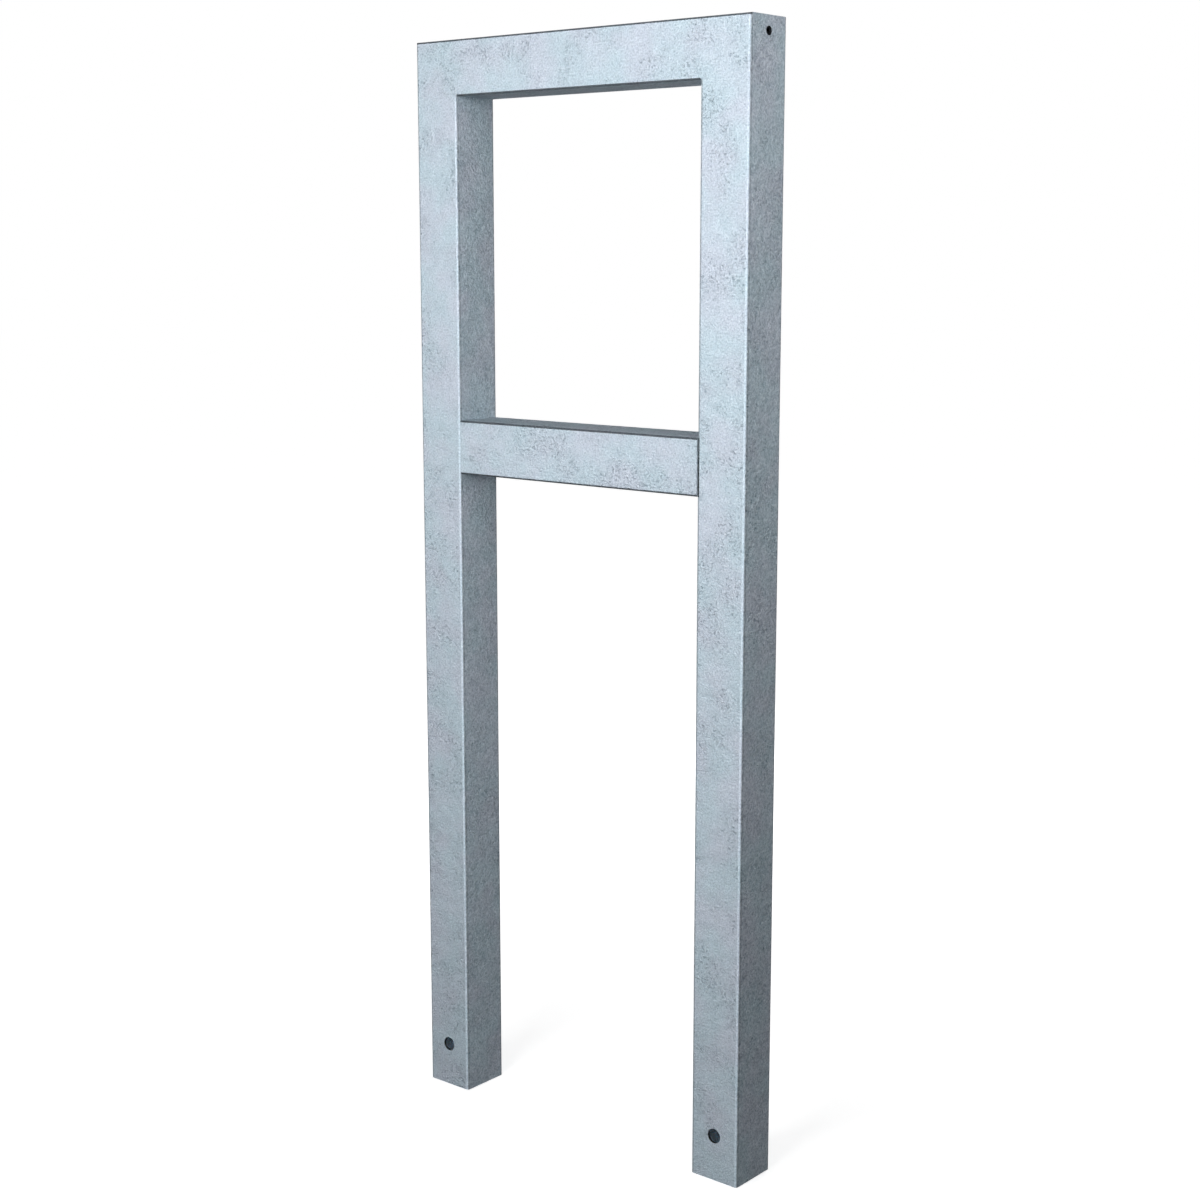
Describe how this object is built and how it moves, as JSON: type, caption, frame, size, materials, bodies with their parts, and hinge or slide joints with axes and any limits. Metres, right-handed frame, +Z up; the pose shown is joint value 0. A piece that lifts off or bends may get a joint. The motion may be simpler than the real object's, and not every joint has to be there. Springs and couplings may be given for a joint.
{
  "type": "hoop bike rack",
  "caption": "Upright rectangular bike hoop of welded square steel tube with a crossbar and holes low in the legs for ground anchor rods.",
  "frame": {"origin": "level with the two feet, midway between them and midway through the tube's depth", "axes": "+Z up along the posts; +X across the hoop towards the post with the vent hole; Y through the tube's depth, with the front at -Y"},
  "size_m": [0.45, 0.06, 1.2],
  "materials": {
    "galvanised_tube": "hot-dip galvanised square steel tube, satin blue-grey with a fine mottled spangle",
    "galvanised_weld": "weld metal dressed flush and galvanised over with the tubes"
  },
  "bodies": {
    "root": {"left_post": "galvanised_tube", "right_post": "galvanised_tube", "top_rail": "galvanised_tube", "crossbar": "galvanised_tube", "left_mitre_weld": "galvanised_weld", "right_mitre_weld": "galvanised_weld", "left_crossbar_weld": "galvanised_weld", "right_crossbar_weld": "galvanised_weld"}
  },
  "joints": []
}
